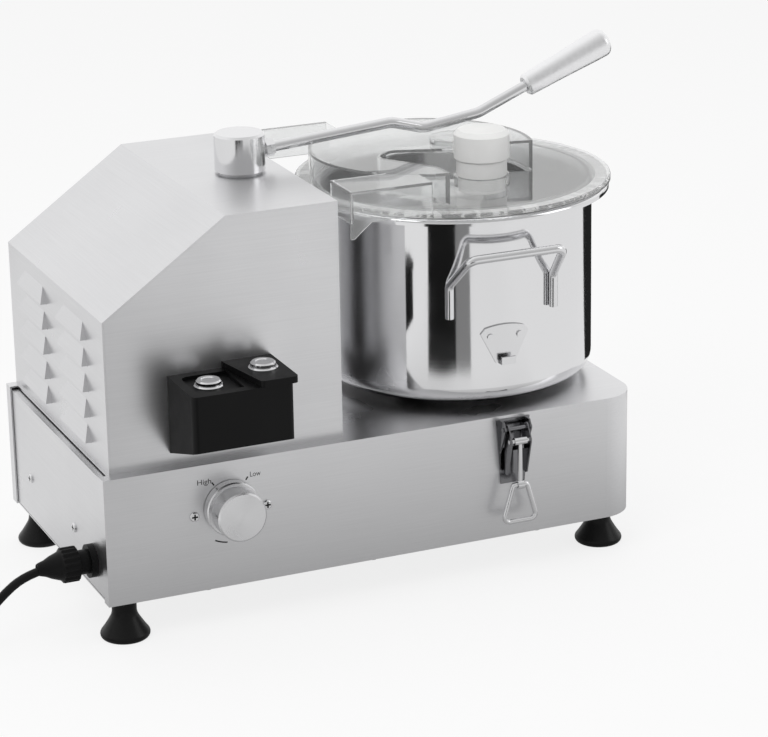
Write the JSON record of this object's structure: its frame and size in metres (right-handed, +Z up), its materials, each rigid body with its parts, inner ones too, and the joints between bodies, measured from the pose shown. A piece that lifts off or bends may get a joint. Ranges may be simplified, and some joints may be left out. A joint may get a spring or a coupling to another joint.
{
  "type": "bowl cutter",
  "caption": "Bench bowl cutter for meat and vegetables: steel bowl with a turning sickle blade, clear lid held by a swing lever, belt drive in a louvred housing.",
  "frame": {"origin": "middle of the outline on the floor, under the feet", "axes": "+X along the front towards the bowl, +Y to the back, +Z up"},
  "size_m": [0.8389, 0.4428, 0.4652],
  "materials": {
    "casing_steel": "brushed",
    "polished_steel": "polished",
    "blade_steel": "ground",
    "clear_plastic": "clear",
    "white_plastic": "satin",
    "black_plastic": "satin",
    "black_rubber": "matte",
    "aluminium": "satin",
    "button_metal": "satin",
    "motor_paint": "satin",
    "cast_iron": "machined",
    "board_green": "satin"
  },
  "bodies": {
    "machine": {"base_casing": "casing_steel", "bottom_plate": "casing_steel", "left_end_plate": "casing_steel", "housing_wrap": "casing_steel", "housing_front_panel": "casing_steel", "housing_rear_panel": "casing_steel", "feet": "black_rubber", "foot_bolts": "blade_steel", "case_screws": "button_metal", "lock_nuts": "blade_steel", "bowl": "polished_steel", "bowl_handles": "polished_steel", "bowl_keepers": "polished_steel", "bowl_seat": "casing_steel", "bearing_housing": "cast_iron", "bearings": "blade_steel", "shaft_seal": "black_rubber", "motor_body": "motor_paint", "drive_belt": "black_rubber", "run_capacitor": "white_plastic", "control_board": "board_green", "lever_bush": "blade_steel", "interlock_switch": "black_plastic", "switch_box": "black_plastic", "switch_cap": "black_plastic", "button_bezels": "button_metal", "speed_control": "black_plastic", "latch_bases": "polished_steel", "gland_body": "black_plastic", "gland_nut": "black_plastic", "cord_tube": "black_rubber", "cord_coil": "black_rubber", "mains_plug": "black_plastic"},
    "blade_shaft": {"spindle": "blade_steel", "spindle_pulley": "aluminium", "blade_hub": "white_plastic", "hub_screw": "button_metal", "blade_lower": "blade_steel", "blade_upper": "blade_steel", "blade_spacer": "white_plastic", "blade_collar_nut": "white_plastic"},
    "motor_shaft": {"motor_rotor": "blade_steel", "motor_pulley": "aluminium"},
    "lever": {"lever_post": "casing_steel", "lever_arm": "casing_steel", "arm_lock_nut": "polished_steel", "lever_grip": "aluminium"},
    "lid": {"lid": "clear_plastic", "lid_gasket": "white_plastic"},
    "plug": {"feed_plug": "white_plastic"},
    "knob": {"speed_knob": "aluminium", "speed_control_shaft": "blade_steel"},
    "start": {"start_button": "button_metal"},
    "stop": {"stop_button": "button_metal"},
    "latch_lever_f": {"latch_lever_front": "polished_steel"},
    "latch_rod_f": {"latch_rod_front": "polished_steel"},
    "latch_ring_f": {"latch_ring_front": "polished_steel"},
    "latch_lever_r": {"latch_lever_rear": "polished_steel"},
    "latch_rod_r": {"latch_rod_rear": "polished_steel"},
    "latch_ring_r": {"latch_ring_rear": "polished_steel"}
  },
  "joints": [
    {"name": "blade_spin", "type": "hinge", "parent": "machine", "child": "blade_shaft", "pos_m": [0.13501, 0.01615, 0.155], "axis": [0, 0, 1], "continuous": true},
    {"name": "motor_spin", "type": "hinge", "parent": "machine", "child": "motor_shaft", "pos_m": [-0.15049, 0.01615, 0.155], "axis": [0, 0, 1], "continuous": true},
    {"name": "lever_swing", "type": "hinge", "parent": "machine", "child": "lever", "pos_m": [-0.07449, 0.01615, 0.372], "axis": [0, 0, 1], "range_deg": [0, 100]},
    {"name": "lid_lift", "type": "slide", "parent": "machine", "child": "lid", "axis": [0, 0, 1], "range_m": [0, 0.005]},
    {"name": "plug_lift", "type": "slide", "parent": "lid", "child": "plug", "axis": [0, 0, 1], "range_m": [0, 0.07]},
    {"name": "speed_turn", "type": "hinge", "parent": "machine", "child": "knob", "pos_m": [-0.14719, -0.12785, 0.1127], "axis": [0, -1, 0], "range_deg": [-150, 150]},
    {"name": "start_press", "type": "slide", "parent": "machine", "child": "start", "axis": [0, 0, -1], "range_m": [0, 0.003], "stiffness_N_per_m": 400, "springref_m": -0.002},
    {"name": "stop_press", "type": "slide", "parent": "machine", "child": "stop", "axis": [0, 0, -1], "range_m": [0, 0.003], "stiffness_N_per_m": 400, "springref_m": -0.002},
    {"name": "latch_lever_front_swing", "type": "hinge", "parent": "machine", "child": "latch_lever_f", "pos_m": [0.12601, -0.13785, 0.145], "axis": [-1, 0, 0], "range_deg": [0, 140]},
    {"name": "latch_rod_front_swing", "type": "hinge", "parent": "latch_lever_f", "child": "latch_rod_f", "pos_m": [0.12601, -0.14435, 0.135], "axis": [1, 0, 0], "range_deg": [-170, 0]},
    {"name": "latch_ring_front_swing", "type": "hinge", "parent": "latch_rod_f", "child": "latch_ring_f", "pos_m": [0.12601, -0.14435, 0.093], "axis": [-1, 0, 0], "range_deg": [-12, 45]},
    {"name": "latch_lever_rear_swing", "type": "hinge", "parent": "machine", "child": "latch_lever_r", "pos_m": [0.12601, 0.17015, 0.145], "axis": [1, 0, 0], "range_deg": [0, 140]},
    {"name": "latch_rod_rear_swing", "type": "hinge", "parent": "latch_lever_r", "child": "latch_rod_r", "pos_m": [0.12601, 0.17665, 0.135], "axis": [-1, 0, 0], "range_deg": [-170, 0]},
    {"name": "latch_ring_rear_swing", "type": "hinge", "parent": "latch_rod_r", "child": "latch_ring_r", "pos_m": [0.12601, 0.17665, 0.093], "axis": [1, 0, 0], "range_deg": [-12, 45]}
  ],
  "couplings": [
    {"joint": "motor_spin", "follows": "blade_spin", "ratio": 1.5}
  ]
}
